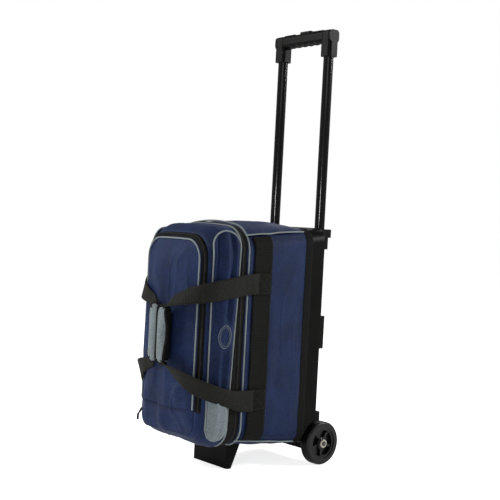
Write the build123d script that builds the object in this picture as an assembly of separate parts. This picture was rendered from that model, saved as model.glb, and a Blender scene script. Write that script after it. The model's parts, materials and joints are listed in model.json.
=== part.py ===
from build123d import *
import math
import os

# Two-ball roller bag for bowling balls: a soft bag on a back frame with two wheels,
# a front foot, a telescoping handle, a side-hinged front section and two carry loops.
# Units are millimetres. +Z is up, the front of the bag faces -Y, and +X is on the right
# when looking at the front. The origin is on the floor at the centre of the bounding box.

os.makedirs("parts", exist_ok=True)

# ---------------------------------------------------------------- driving dimensions
SIDES = ((1, "right"), (-1, "left"))

WHEEL_R = 50.8
WHEEL_W = 25.0
WHEEL_OUT = 139.0       # outer face of the wheel
AXLE_Y = 180.1
AXLE_Z = WHEEL_R
AXLE_R = 4.0

HALF_W = 127.0          # half the bag's width
WALL = 3.0
BOARD_T = 4.0
BACK_Y = AXLE_Y - 17.0  # back face of the bag
BOARD_FRONT_Y = BACK_Y - WALL - BOARD_T  # nominal; parts in front of it add a clearance
ZIP_Y = AXLE_Y - 252.0  # front edge of the ball compartment's panels
SPLIT_Y = AXLE_Y - 265.0  # where the two zip tapes meet
LID_Y = AXLE_Y - 279.0  # back edge of the front section
LID_FRONT_Y = AXLE_Y - 342.0
POCKET_FRONT_Y = AXLE_Y - 363.0
BACK_ZB, BACK_ZT = 48.0, 558.0    # bottom and top of the body at its back
FRONT_ZB, FRONT_ZT = 70.0, 538.0  # and at its front
LID_ZB, LID_ZT = 68.0, 545.0

TUBE_X = 80.5           # handle tubes either side of the middle
TUBE_Y = AXLE_Y + 8.0
TUBE_R = 12.0           # sliding tube
TUBE_WALL = 1.4
SLEEVE_RI, SLEEVE_RO = 12.9, 14.0
SLEEVE_TOP = 548.0
SOCKET_Z = 968.0        # underside of the grip's sockets with the handle out
GRIP_TOP = 1031.0

# (x, z) of the screws through wall and board into the brackets
SCREWS = [(x, z) for x in (-55, 55) for z in (60, 106, 290, 330, 515, 545)]


# ---------------------------------------------------------------- helpers
def out(shape, name):
    """Write a shape, or a list of shapes, as one STEP file."""
    shapes = shape if isinstance(shape, (list, tuple)) else [shape]
    solids = [solid for item in shapes for solid in item.solids()]
    export_step(Compound(children=solids) if len(solids) > 1 else solids[0], f"parts/{name}.step")


def box(x0, x1, y0, y1, z0, z1):
    centre = Pos((x0 + x1) / 2, (y0 + y1) / 2, (z0 + z1) / 2)
    return centre * Box(abs(x1 - x0), abs(y1 - y0), abs(z1 - z0))


def clip(x0=-200, x1=200, z0=0, z1=700):
    """A block through the whole depth of the bag, to keep part of a shape."""
    return box(x0, x1, -300, 300, z0, z1)


def cyl(radius, start, end):
    start, end = Vector(*start), Vector(*end)
    along = end - start
    upright = Cylinder(radius, along.length, align=(Align.CENTER, Align.CENTER, Align.MIN))
    return Plane(origin=start, z_dir=along) * upright


def xcyl(radius, x0, x1, y, z):
    return cyl(radius, (min(x0, x1), y, z), (max(x0, x1), y, z))


def ycyl(radius, x, z, y0, y1):
    return cyl(radius, (x, y0, z), (x, y1, z))


def zcyl(radius, x, y, z0, z1):
    return cyl(radius, (x, y, z0), (x, y, z1))


def axle_cyl(radius, x0, x1):
    """A cylinder on the wheels' axis."""
    return xcyl(radius, x0, x1, AXLE_Y, AXLE_Z)


def tube_cyl(radius, side, z0, z1):
    """A cylinder on the axis of one handle tube."""
    return zcyl(radius, side * TUBE_X, TUBE_Y, z0, z1)


def round_along(shape, axis, radius):
    """Fillet the edges parallel to an axis."""
    return fillet(shape.edges().filter_by(axis), radius)


def cut_screw_holes(shape, radius, y0, y1):
    for x, z in SCREWS:
        shape -= ycyl(radius, x, z, y0, y1)
    return shape


# A station is (y, half width, bottom z, top z, corner radius).
def section(y, half_w, z_bot, z_top, corner):
    """A rounded rectangle across the bag, facing forward."""
    plane = Plane(origin=(0, y, (z_bot + z_top) / 2), x_dir=(1, 0, 0), z_dir=(0, -1, 0))
    return plane * RectangleRounded(2 * half_w, z_top - z_bot, corner)


def inset(station, depth, y_shift=0.0):
    y, half_w, z_bot, z_top, corner = station
    return (y + y_shift, half_w - depth, z_bot + depth, z_top - depth, max(corner - depth, 2))


def loft_stations(stations):
    return loft([section(*station) for station in stations])


def ring(back, front, wall):
    """An open-ended band between two stations, its bore run slightly past both ends."""
    bore = loft_stations([inset(back, wall, 0.02), inset(front, wall, -0.02)])
    return loft_stations([back, front]) - bore


def straight_ring(outline, y_back, y_front, wall):
    """A band with the same outline at both ends."""
    return ring((y_back, *outline), (y_front, *outline), wall)


def body_station(y):
    """The ball compartment's outline at depth y."""
    t = (BACK_Y - y) / (BACK_Y - ZIP_Y)
    return (y, HALF_W - 2 * t, BACK_ZB + (FRONT_ZB - BACK_ZB) * t,
            BACK_ZT + (FRONT_ZT - BACK_ZT) * t, 30 + 12 * t)


def wheel_wells(radius, x_in):
    return axle_cyl(radius, x_in, 160) + axle_cyl(radius, -160, -x_in)


# ---------------------------------------------------------------- back shell and board
body_ring = ring(body_station(BACK_Y - WALL), body_station(ZIP_Y), WALL)
# the back shell's rim is deeper at the top than at the bottom
RIM_BOTTOM_Y = AXLE_Y - 53.5
RIM_TOP_Y = AXLE_Y - 90.2
PANEL_GAP = 0.25
rim_profile = Plane.YZ * Polygon(
    (BACK_Y + 5, 30), (BACK_Y + 5, 580), (RIM_TOP_Y, 580), (RIM_BOTTOM_Y, 30), align=None)
rim_block = Pos(-200, 0, 0) * extrude(rim_profile, 400)
wells = wheel_wells(57.0, 111.8)
rim = (body_ring & rim_block) - wells

back_wall = extrude(section(*body_station(BACK_Y)), WALL) - wells
board = extrude(section(BACK_Y - WALL - 0.1, HALF_W - WALL - 4, BACK_ZB + WALL + 8,
                        BACK_ZT - WALL - 4, 26), BOARD_T)
board -= wheel_wells(61.5, 106)
back_wall = cut_screw_holes(back_wall, 2.6, BACK_Y + 3, BACK_Y - 12)
board = cut_screw_holes(board, 2.6, BACK_Y + 3, BACK_Y - 12)
out(rim + back_wall, "back_shell")
out(board, "back_board")

# ---------------------------------------------------------------- fabric panels
PANEL_CUT_X = 96.0  # the corner arcs belong to the side panels
PANEL_SPLIT_Z = 300
panels = body_ring - rim_block - (Pos(0, -PANEL_GAP, 0) * rim_block)
middle = panels & clip(-PANEL_CUT_X + 0.05, PANEL_CUT_X - 0.05)
out(panels & clip(x0=PANEL_CUT_X), "side_panel_right")
out(panels & clip(x1=-PANEL_CUT_X), "side_panel_left")
out(middle & clip(z0=PANEL_SPLIT_Z), "top_panel")
out(middle & clip(z1=PANEL_SPLIT_Z), "bottom_panel")


# ---------------------------------------------------------------- internal wheel housings
def wheel_housing(side):
    """A cup closing the shell around one wheel, trimmed to the inside of the body."""
    x_in, x_out = side * 109.6, side * (HALF_W - WALL - 0.6)
    cup = axle_cyl(60.2, x_in, x_out) - axle_cyl(57.4, side * 111.6, x_out + side * 2)
    inside = loft_stations([inset(body_station(y), WALL + 0.4)
                            for y in (BACK_Y - WALL - 0.3, ZIP_Y)])
    return cup & inside & box(-200, 200, AXLE_Y - 80, BACK_Y, BACK_ZB + 12, 200)


out([wheel_housing(side) for side, _ in SIDES], "wheel_housings")

# ---------------------------------------------------------------- ball cradle
CRADLE_BACK_Y = BOARD_FRONT_Y - 0.3
CRADLE_T = 10
BALL_R = 110
cradle = box(-98, 98, CRADLE_BACK_Y - CRADLE_T, CRADLE_BACK_Y, 84, 516)
for z in (192.0, 408.0):
    cradle -= Pos(0, CRADLE_BACK_Y - 4 - BALL_R, z) * Sphere(BALL_R)
# recesses for the screw heads
cradle = cut_screw_holes(cradle, 6.5, CRADLE_BACK_Y + 2, CRADLE_BACK_Y - 3.5)
out(cradle, "ball_cradle")

# ---------------------------------------------------------------- main zip
# outlines are (half width, bottom z, top z, corner radius)
TAPE_T, COIL_T = 1.6, 2.8
body_tape = straight_ring((125.0, 69.5, 540.0, 43), ZIP_Y - 0.1, SPLIT_Y + 2.2, TAPE_T)
lid_tape = straight_ring((125.0, 69.5, 541.0, 43), SPLIT_Y - 2.2, LID_Y + 0.1, TAPE_T)
# the coil runs over the top, down the right side and along the bottom;
# the left side is the fabric hinge
coil_span = clip(x0=-112)
body_coil = straight_ring((125.6, 69.0, 541.0, 43), SPLIT_Y + 2.4, SPLIT_Y + 0.2, COIL_T)
lid_coil = straight_ring((125.6, 69.0, 541.6, 43), SPLIT_Y - 0.2, SPLIT_Y - 2.4, COIL_T)
out(body_tape + (body_coil & coil_span), "zip_tape_body")
out(lid_tape + (lid_coil & coil_span), "zip_tape_lid")

# ---------------------------------------------------------------- piping cords
CORD = 3.0
CORNER_CORD_R = 1.7


def corner_point(y, side, up):
    """A point just outside the body's corner arc at depth y; up is 1 at the top, -1 below."""
    _, half_w, z_bot, z_top, corner = body_station(y)
    angle = math.radians(50)
    reach = corner + 2.2
    arc_z = z_top - corner if up > 0 else z_bot + corner
    return (side * (half_w - corner + reach * math.cos(angle)), y,
            arc_z + up * reach * math.sin(angle))


body_piping = [straight_ring((128.2, 66.3, 543.2, 46), ZIP_Y - 0.2, ZIP_Y - 3.4, CORD)]
for side, _ in SIDES:
    for up in (1, -1):
        body_piping.append(cyl(CORNER_CORD_R, corner_point(AXLE_Y - 79, side, up),
                               corner_point(AXLE_Y - 250, side, up)))
out(body_piping, "piping_body")
out(straight_ring((128.2, 65.0, 548.0, 48), LID_Y + 3.4, LID_Y + 0.2, CORD), "piping_lid")

# ---------------------------------------------------------------- front section (lid)
out(ring((LID_Y, 125.0, LID_ZB, LID_ZT, 45),
         (LID_FRONT_Y, 114.0, LID_ZB + 8, LID_ZT - 12, 52), WALL), "lid_gusset")
out(extrude(section(LID_Y + 12.5, 121.5, 74, 536, 40), 5.0), "lid_inner_panel")
front_panel = extrude(section(LID_FRONT_Y - 0.1, 113.0, LID_ZB + 9, LID_ZT - 13, 51), WALL)
shoe_opening = extrude(section(LID_FRONT_Y + 1, 88.0, 120, 512, 44), 6)
out(front_panel - shoe_opening, "lid_front_panel")

# shoe pocket: a shallow tray, open at the back, with an arch zip over the top and sides
pocket_back = (LID_FRONT_Y - 3.6, 97, 92, 521, 48)
pocket_front = (POCKET_FRONT_Y, 90, 100, 512, 44)
pocket_bore = loft_stations([inset(pocket_back, WALL, 0.1), inset(pocket_front, WALL, WALL)])
out(loft_stations([pocket_back, pocket_front]) - pocket_bore, "shoe_pocket_front")
arch_coil = straight_ring((103, 70, 527, 52), LID_FRONT_Y - 3.6, LID_FRONT_Y - 6.6, 3.4)
out(arch_coil & clip(z0=128), "shoe_zip_coil")


# side pockets: a flat pouch on each side of the front section, with a patch near its foot
def side_pad(side, x, y, z, half_size, corner):
    """A flat rounded pad turned to follow the tapering side."""
    half_t, half_d, half_h = half_size
    pad = round_along(box(-half_t, half_t, -half_d, half_d, -half_h, half_h), Axis.X, corner)
    return Pos(side * x, y, z) * Rot(0, 0, side * -9.6) * pad


for side, tag in SIDES:
    out(side_pad(side, 122.6, AXLE_Y - 313.0, 312, (2.4, 31, 222), 30), f"side_pocket_{tag}")
out([side_pad(side, 126.3, AXLE_Y - 312.4, 132, (1.0, 27, 36), 24) for side, _ in SIDES],
    "side_pocket_patches")

# ---------------------------------------------------------------- sewn webbing
STRAP_W, STRAP_T = 48.0, 2.4
STRAP_HI, STRAP_LO = 427.0, 168.0   # heights of the carry loops' sewn ends
anchors = []
for side, tag in SIDES:
    x0 = side * (HALF_W + 0.4)
    out(box(x0, x0 + side * 1.6, AXLE_Y - 231, AXLE_Y - 181, 84, 528), f"side_webbing_{tag}")
    anchors += [box(x0 + side * 1.8, x0 + side * (1.8 + STRAP_T), AXLE_Y - 228, AXLE_Y - 184,
                    z - STRAP_W / 2, z + STRAP_W / 2) for z in (STRAP_HI, STRAP_LO)]
out(anchors, "loop_anchors")

# ---------------------------------------------------------------- carry loops
# each loop goes from its sewn ends round the front corner to the middle:
# plan x, plan y, centre z of the upper run, centre z of the lower run, webbing width
RUN = [
    (135.0, AXLE_Y - 231.5, STRAP_HI, STRAP_LO, STRAP_W),
    (135.5, AXLE_Y - 290.0, 420.0, 177.0, 46.0),
    (131.5, AXLE_Y - 344.0, 411.0, 189.0, 42.0),
    (114.0, AXLE_Y - 376.0, 403.0, 202.0, 36.0),
    (74.0, AXLE_Y - 393.0, 394.0, 217.0, 28.0),
    (40.0, AXLE_Y - 399.0, 389.0, 226.0, 24.0),
]
UPPER, LOWER = 2, 3     # columns of RUN
_, PAD_Y, END_HI, END_LO, END_W = RUN[-1]
PAD_Z0, PAD_Z1 = 243.0, 374.0
CORE_X0, CORE_X1, CORE_HALF_D = 17, 21, 7
CORE_GAP = 0.2


def strap_run(side, z_column):
    """One run of webbing, lofted from row to row of RUN."""
    rects = []
    for i, row in enumerate(RUN):
        before, after = RUN[max(i - 1, 0)], RUN[min(i + 1, len(RUN) - 1)]
        along = Vector(side * (after[0] - before[0]), after[1] - before[1], 0)
        plane = Plane(origin=(side * row[0], row[1], row[z_column]), x_dir=(0, 0, 1), z_dir=along)
        rects.append(plane * Rectangle(row[4], STRAP_T))
    run = loft(rects[:2])
    for pair in zip(rects[1:], rects[2:]):
        run += loft(list(pair))
    return run


def loop_webbing(side):
    """Both runs, joined by an upright core inside the grip pad."""
    webbing = strap_run(side, UPPER) + strap_run(side, LOWER)
    webbing += box(side * CORE_X0, side * CORE_X1, PAD_Y - CORE_HALF_D, PAD_Y + CORE_HALF_D,
                   END_LO - END_W / 2, END_HI + END_W / 2)
    for z in (END_HI, END_LO):
        webbing += box(side * CORE_X0, side * 40.5, PAD_Y - STRAP_T / 2, PAD_Y + STRAP_T / 2,
                       z - END_W / 2, z + END_W / 2)
    return webbing


def grip_pad(side):
    pad = round_along(box(side * 1.5, side * 37.5, PAD_Y - 12, PAD_Y + 12, PAD_Z0, PAD_Z1),
                      Axis.Z, 9)
    half_d = CORE_HALF_D + CORE_GAP
    return pad - box(side * (CORE_X0 - CORE_GAP), side * (CORE_X1 + CORE_GAP),
                     PAD_Y - half_d, PAD_Y + half_d, PAD_Z0 - 5, PAD_Z1 + 5)


for side, tag in SIDES:
    out(loop_webbing(side), f"loop_webbing_{tag}")
    out(grip_pad(side), f"grip_pad_{tag}")

# ---------------------------------------------------------------- foot
FOOT_HALF_W = 63.5
foot_profile = Plane.YZ * Polygon((AXLE_Y - 229, 0), (AXLE_Y - 213, 0), (AXLE_Y - 186, 62.6),
                                  (AXLE_Y - 229, 66.4), align=None)
foot = Pos(-FOOT_HALF_W, 0, 0) * extrude(foot_profile, 2 * FOOT_HALF_W)
# round the long front and back edges of both ends
end_edges = [e for e in foot.edges() if abs(abs(e.center().X) - FOOT_HALF_W) < 0.01
             and e.center().Z < 45 and e.length > 30]
foot = fillet(end_edges, 6)
foot -= box(-FOOT_HALF_W + 5, FOOT_HALF_W - 5, AXLE_Y - 224, AXLE_Y - 211, 6, 54)
out(foot, "front_foot")
out([zcyl(4.5, x, AXLE_Y - 200, 71.8, 74.4) for x in (-45, 45)], "foot_rivets")

# ---------------------------------------------------------------- wheels
HUB_BORE_R = 8.0
HUB_INSET = 2.0         # hub faces inside the tyre's faces


def tyre(side, x_in, x_out):
    ring_body = axle_cyl(WHEEL_R, x_in, x_out)
    ring_body = fillet(ring_body.edges(), 5)
    return ring_body - axle_cyl(37.0, x_in - side * 2, x_out + side * 2)


def wheel_hub(side, x_in, x_out):
    """Rim, boss, a thin web disc and five spokes."""
    hub = axle_cyl(36.95, x_in, x_out) - axle_cyl(31.0, x_in - side, x_out + side)
    hub += axle_cyl(14.5, x_in, x_out)
    hub += axle_cyl(32.0, side * (WHEEL_OUT - 15.0), side * (WHEEL_OUT - 11.0))
    for k in range(5):
        spoke = box(x_in + side * 3, x_out - side * 3, -3.0, 3.0, 12.0, 32.5)
        hub += Pos(0, AXLE_Y, AXLE_Z) * Rot(36 + 72 * k, 0, 0) * spoke
    return hub - axle_cyl(HUB_BORE_R, x_in - side, x_out + side)


def wheel_bush(side, x_in, x_out):
    bore = axle_cyl(AXLE_R + 0.05, x_in - side, x_out + side)
    return axle_cyl(HUB_BORE_R - 0.02, x_in, x_out) - bore


def hub_cap(side, x_out):
    cap = axle_cyl(10.5, x_out - side * 1.8, x_out + side * 3.4)
    cap = fillet(cap.edges().sort_by(Axis.X)[-1 if side > 0 else 0], 2.0)
    return cap - axle_cyl(5.6, x_out - side * 4, x_out + side * 1.6)


for side, tag in SIDES:
    x_out, x_in = side * WHEEL_OUT, side * (WHEEL_OUT - WHEEL_W)
    hub_faces = (x_in + side * HUB_INSET, x_out - side * HUB_INSET)
    out(tyre(side, x_in, x_out), f"tyre_{tag}")
    out(wheel_hub(side, *hub_faces), f"wheel_hub_{tag}")
    out(wheel_bush(side, *hub_faces), f"wheel_bush_{tag}")
    out(hub_cap(side, x_out), f"hub_cap_{tag}")

out(axle_cyl(AXLE_R, -(WHEEL_OUT - 1.2), WHEEL_OUT - 1.2), "axle")
out([axle_cyl(8.0, side * 100.2, side * 115.8) - axle_cyl(AXLE_R + 0.02, side * 99, side * 117)
     for side, _ in SIDES], "axle_spacers")

# ---------------------------------------------------------------- handle brackets
BRACKET_Y1 = AXLE_Y + 25


def bracket(z0, z1, half_w, y1=BRACKET_Y1):
    return round_along(box(-half_w, half_w, BACK_Y + 0.2, y1, z0, z1), Axis.Z, 4)


axle_bracket = bracket(30, 118, 100)
axle_bracket -= axle_cyl(AXLE_R + 0.02, -130, 130)
rear_skid = bracket(270, 348, 99)
handle_bracket = bracket(508, 556, 97) + bracket(536, 556, 101, AXLE_Y + 30)
for side in (-1, 1):
    axle_bracket -= tube_cyl(SLEEVE_RO + 0.1, side, 62, 130)
    rear_skid -= tube_cyl(SLEEVE_RO + 0.1, side, 200, 400)
    handle_bracket -= tube_cyl(SLEEVE_RO + 0.1, side, 450, SLEEVE_TOP + 1)
    handle_bracket -= tube_cyl(TUBE_R + 0.6, side, SLEEVE_TOP, 570)
# open windows between the tubes
rear_skid -= box(-50, 50, AXLE_Y - 6, AXLE_Y + 30, 282, 336)
axle_bracket -= box(-50, 50, AXLE_Y + 6, AXLE_Y + 30, 66, 108)
handle_bracket -= box(-54, 54, AXLE_Y + 2, AXLE_Y + 40, 500, 530)
for shape, name in ((axle_bracket, "axle_bracket"), (rear_skid, "rear_skid"),
                    (handle_bracket, "handle_bracket")):
    out(cut_screw_holes(shape, 1.7, BACK_Y - 2, BACK_Y + 14), name)

HEAD_Y = BOARD_FRONT_Y - 0.2    # underside of the screw heads
out([ycyl(5.0, x, z, HEAD_Y, HEAD_Y - 2.4) + ycyl(1.65, x, z, HEAD_Y, HEAD_Y + 18)
     for x, z in SCREWS], "bracket_screws")

# ---------------------------------------------------------------- sleeves, closed at the bottom
out([tube_cyl(SLEEVE_RO, side, 62.2, SLEEVE_TOP) - tube_cyl(SLEEVE_RI, side, 66, 560)
     for side in (-1, 1)], "handle_sleeves")
out([tube_cyl(SLEEVE_RI - 0.02, side, 520, SLEEVE_TOP - 0.5)
     - tube_cyl(TUBE_R + 0.08, side, 515, 560) for side in (-1, 1)], "sleeve_bushes")

# ---------------------------------------------------------------- sliding tubes
TUBE_Z0 = SOCKET_Z - 484.0      # lower end of the sliding tubes with the handle out
TUBE_RI = TUBE_R - TUBE_WALL
PIN_Z = TUBE_Z0 + 16
PIN_R = 3.0


def pin_hole(side, x_from):
    return xcyl(PIN_R + 0.1, side * x_from, side * (TUBE_X + 20), TUBE_Y, PIN_Z)


def handle_tube(side):
    tube = tube_cyl(TUBE_R, side, TUBE_Z0, GRIP_TOP - 31)
    tube -= tube_cyl(TUBE_RI, side, TUBE_Z0 - 1, GRIP_TOP)
    return tube - pin_hole(side, TUBE_X)


def lock_plug(side):
    """Plug in the tube's lower end, bored for the lock pin and the push rod."""
    plug = tube_cyl(TUBE_RI - 0.05, side, TUBE_Z0 + 1, TUBE_Z0 + 30)
    plug -= pin_hole(side, TUBE_X - 6)
    return plug - tube_cyl(2.9, side, TUBE_Z0 + 19, TUBE_Z0 + 40)


out([handle_tube(side) for side in (-1, 1)], "handle_tubes")
out([lock_plug(side) for side in (-1, 1)], "lock_plugs")

# ---------------------------------------------------------------- grip, in two halves
GRIP_X = TUBE_X + 17.5          # half the grip's length
GRIP_SCREW_X, GRIP_SCREW_Z = TUBE_X - 10, SOCKET_Z + 22
grip = box(-GRIP_X, GRIP_X, TUBE_Y - 15, TUBE_Y + 15, GRIP_TOP - 30, GRIP_TOP)
grip = round_along(grip, Axis.X, 9)
for side in (-1, 1):
    socket = box(side * (TUBE_X - 16), side * GRIP_X, TUBE_Y - 16, TUBE_Y + 16, SOCKET_Z, GRIP_TOP)
    socket = round_along(socket, Axis.Z, 9)
    grip += fillet(socket.edges().group_by(Axis.Z)[-1], 8)
# finger grooves under the bar
for k in range(-2, 3):
    grip -= Pos(k * 21.0, TUBE_Y, GRIP_TOP - 37.5) * Rot(90, 0, 0) * Cylinder(11.0, 60)
# channel for the link bar
grip -= box(-GRIP_X + 10, GRIP_X - 10, TUBE_Y - 7, TUBE_Y + 7, GRIP_TOP - 24, GRIP_TOP - 6)
for side in (-1, 1):
    grip -= tube_cyl(TUBE_R + 0.03, side, SOCKET_Z - 2, GRIP_TOP - 30.9)
    grip -= tube_cyl(6.0, side, SOCKET_Z, GRIP_TOP - 20)
    grip -= ycyl(2.4, side * GRIP_SCREW_X, GRIP_SCREW_Z, TUBE_Y - 20, TUBE_Y - 11.5)
# opening for the button
grip -= box(-20, 20, TUBE_Y - 7, TUBE_Y + 7, GRIP_TOP - 10, GRIP_TOP + 5)
out(grip & box(-200, 200, TUBE_Y - 60, TUBE_Y, 900, 1100), "grip_front")
out(grip & box(-200, 200, TUBE_Y, TUBE_Y + 60, 900, 1100), "grip_rear")
out([ycyl(2.3, side * GRIP_SCREW_X, GRIP_SCREW_Z, TUBE_Y - 15.2, TUBE_Y - 12)
     for side in (-1, 1)], "grip_screws")

# ---------------------------------------------------------------- handle release
button = box(-19.6, 19.6, TUBE_Y - 6.6, TUBE_Y + 6.6, GRIP_TOP - 13, GRIP_TOP + 6)
button = round_along(button, Axis.Z, 5)
button = fillet(button.edges().group_by(Axis.Z)[-1], 2.5)
link_bar = box(-GRIP_X + 11, GRIP_X - 11, TUBE_Y - 5, TUBE_Y + 5, GRIP_TOP - 17, GRIP_TOP - 12.5)
out(button + link_bar, "release_button")
out([tube_cyl(2.5, side, TUBE_Z0 + 27.5, GRIP_TOP - 17.1) for side in (-1, 1)], "push_rods")
for side, tag in SIDES:
    out(xcyl(PIN_R, side * (TUBE_X + 4.2), side * (TUBE_X + TUBE_R - 0.1), TUBE_Y, PIN_Z),
        f"lock_pin_{tag}")


# ---------------------------------------------------------------- zip sliders and pulls
# local frame: x along the zip, z away from the bag
def slider():
    base = round_along(box(-5.0, 5.0, -4.0, 4.0, 0, 3.0), Axis.Z, 2.2)
    return base + (box(-3.6, 3.6, -1.1, 1.1, 2.9, 6.4) - box(-2.2, 2.2, -2, 2, 3.0, 5.2))


def pull():
    """A link through the slider's arch and a tab, lying toward local -x."""
    link = box(-7.0, -0.2, -2.6, 2.6, 3.45, 4.65) - box(-5.6, -1.5, -1.35, 1.35, 3, 6)
    return link + round_along(box(-27.0, -6.6, -2.6, 2.6, 3.1, 5.0), Axis.Z, 2.0)


# shoe pocket: two sliders low on the left side of the arch zip
for z, tag in ((178.0, "upper"), (146.0, "lower")):
    at = Plane(origin=(-101.3, LID_FRONT_Y - 6.9, z), x_dir=(0, 0, 1), z_dir=(0, -1, 0))
    out(at * slider(), f"shoe_slider_{tag}")
    out(at * pull(), f"shoe_pull_{tag}")
# main zip: the slider parks at the hinge end of the run across the top
at = Plane(origin=(-66.0, SPLIT_Y, 542.4), x_dir=(1, 0, 0), z_dir=(0, 0, 1))
out(at * slider(), "main_slider")
out(at * pull(), "main_pull")
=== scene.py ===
"""Wheeled ball bag: moulded back shell, pull handle, cloth body and a zipped front section.

The front section (the lid) swings on a cloth hinge at its left side. It carries a pocket with
an arched zip, two side pockets and half of each carry loop.
+X is the right side, -Y the front, +Z up from the floor. Sizes are in millimetres with y
counted from the wheel axle, unless a name says otherwise; world() turns them into metres.
"""
import json
import math
from contextlib import contextmanager
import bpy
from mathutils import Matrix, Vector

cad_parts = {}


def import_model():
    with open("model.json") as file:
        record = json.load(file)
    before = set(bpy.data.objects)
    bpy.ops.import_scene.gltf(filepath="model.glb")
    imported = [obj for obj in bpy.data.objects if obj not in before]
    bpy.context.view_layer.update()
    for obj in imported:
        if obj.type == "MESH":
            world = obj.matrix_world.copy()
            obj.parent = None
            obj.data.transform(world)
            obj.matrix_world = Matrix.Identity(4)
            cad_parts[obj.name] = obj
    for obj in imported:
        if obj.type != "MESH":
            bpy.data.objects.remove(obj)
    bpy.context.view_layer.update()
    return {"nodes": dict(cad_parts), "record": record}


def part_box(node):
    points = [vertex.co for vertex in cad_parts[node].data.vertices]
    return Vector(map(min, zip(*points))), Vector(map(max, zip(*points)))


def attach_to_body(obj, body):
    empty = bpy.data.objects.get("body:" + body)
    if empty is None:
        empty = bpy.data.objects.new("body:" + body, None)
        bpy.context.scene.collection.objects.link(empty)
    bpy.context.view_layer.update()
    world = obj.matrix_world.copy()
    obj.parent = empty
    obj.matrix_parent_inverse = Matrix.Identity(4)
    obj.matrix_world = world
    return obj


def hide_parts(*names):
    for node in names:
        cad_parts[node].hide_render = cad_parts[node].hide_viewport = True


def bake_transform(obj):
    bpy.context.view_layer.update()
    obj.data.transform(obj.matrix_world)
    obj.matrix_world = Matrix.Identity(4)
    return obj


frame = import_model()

from types import SimpleNamespace

import bmesh
import bpy
import numpy as np
from mathutils import Matrix, Vector
from mathutils.bvhtree import BVHTree

AXLE_Y = sum(p[1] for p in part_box("axle")) / 2      # metres
NODES = frame["nodes"]
MM = 0.001
SIDES = ((1, "right"), (-1, "left"))

BODY_CENTRE = (0, -150, 310)        # points inside each part, used to turn cloth outwards
LID_CENTRE = (0, -315, 306)

# ------------------------------------------------------------------ noise
NOISE_TABLE = np.random.RandomState(7).rand(256, 256)


def noise(x, y, seed=0):
    """Smooth value noise in -1..1."""
    x = np.asarray(x, float) + 17.3 * seed
    y = np.asarray(y, float) + 31.7 * seed
    xi, yi = np.floor(x).astype(int), np.floor(y).astype(int)
    fx, fy = x - xi, y - yi
    fx = fx * fx * (3 - 2 * fx)
    fy = fy * fy * (3 - 2 * fy)

    def value(i, j):
        return NOISE_TABLE[(i + seed * 13) % 256, (j + seed * 7) % 256]

    near = value(xi, yi) * (1 - fx) + value(xi + 1, yi) * fx
    far = value(xi, yi + 1) * (1 - fx) + value(xi + 1, yi + 1) * fx
    return (near * (1 - fy) + far * fy) * 2 - 1


def folds(a, b, amp, seed, size_a, size_b):
    """Soft fabric relief: broad waves, finer waves and a few sharper creases."""
    warp = .6 * noise(a / 70, b / 70, seed + 1)
    broad = noise(a / size_a + warp, b / size_b + warp, seed + 2)
    fine = noise(a / (size_a * .45) + warp, b / (size_b * .45), seed + 3)
    ridge = noise(a / (size_a * .8) + warp * 1.4, b / (size_b * .8) - warp, seed + 4)
    crease = np.clip(1 - np.abs(ridge) * 2.2, 0, 1) ** 3
    return amp * (0.55 * broad + 0.22 * fine + 0.35 * crease)


# ------------------------------------------------------------------ mesh helpers
def world(point):
    """Millimetres from the axle to metres in the scene."""
    metres = np.asarray(point, float) * MM
    metres[..., 1] += AXLE_Y
    return metres


def from_world(point):
    return np.array([point.x / MM, (point.y - AXLE_Y) / MM, point.z / MM])


def lerp(a, b, t):
    return a + (b - a) * t


def unit(vector):
    return vector / (np.linalg.norm(vector) + 1e-9)


def attach(obj, body, slot, *replaced):
    """Say which CAD nodes a mesh stands for and what it moves with; slot is not used."""
    if replaced:
        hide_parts(*replaced)
    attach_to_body(obj, body)
    return obj


def make(name, verts, faces, mat, smooth=True):
    mesh = bpy.data.meshes.new(name)
    mesh.from_pydata([tuple(v) for v in world(verts)], [],
                     [tuple(int(i) for i in f) for f in faces])
    mesh.validate()
    if smooth:
        shade_smooth(mesh)
    mesh.materials.append(mat)
    obj = bpy.data.objects.new(name, mesh)
    bpy.context.scene.collection.objects.link(obj)
    return obj


def shade_smooth(mesh):
    mesh.polygons.foreach_set("use_smooth", [True] * len(mesh.polygons))


@contextmanager
def editing(obj):
    bm = bmesh.new()
    bm.from_mesh(obj.data)
    yield bm
    bm.to_mesh(obj.data)
    bm.free()


def recalc_normals(bm):
    bmesh.ops.recalc_face_normals(bm, faces=bm.faces)


def fill_holes(bm):
    bmesh.ops.holes_fill(bm, edges=[e for e in bm.edges if e.is_boundary], sides=400)


def thicken(obj, name, thickness, offset):
    solidify = obj.modifiers.new(name, "SOLIDIFY")
    solidify.thickness = thickness * MM
    solidify.offset = offset


def grid_faces(rows, columns, closed=False, keep=None):
    """Quads over vertices laid out row by row; closed joins the last row to the first."""
    faces = []
    for i in range(rows if closed else rows - 1):
        j = (i + 1) % rows
        if keep is not None and not keep(i):
            continue
        for k in range(columns - 1):
            faces.append((i * columns + k, j * columns + k,
                          j * columns + k + 1, i * columns + k + 1))
    return faces


def turn_outward(obj, centre):
    """Drop loose points and make the faces look away from the centre."""
    with editing(obj) as bm:
        loose = [v for v in bm.verts if not v.link_faces]
        bmesh.ops.delete(bm, geom=loose, context="VERTS")
        recalc_normals(bm)
        middle = Vector(world(centre))
        outward = sum((f.calc_center_median() - middle).dot(f.normal) * f.calc_area()
                      for f in bm.faces)
        if outward < 0:
            bmesh.ops.reverse_faces(bm, faces=bm.faces)
    obj.data.update()


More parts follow.
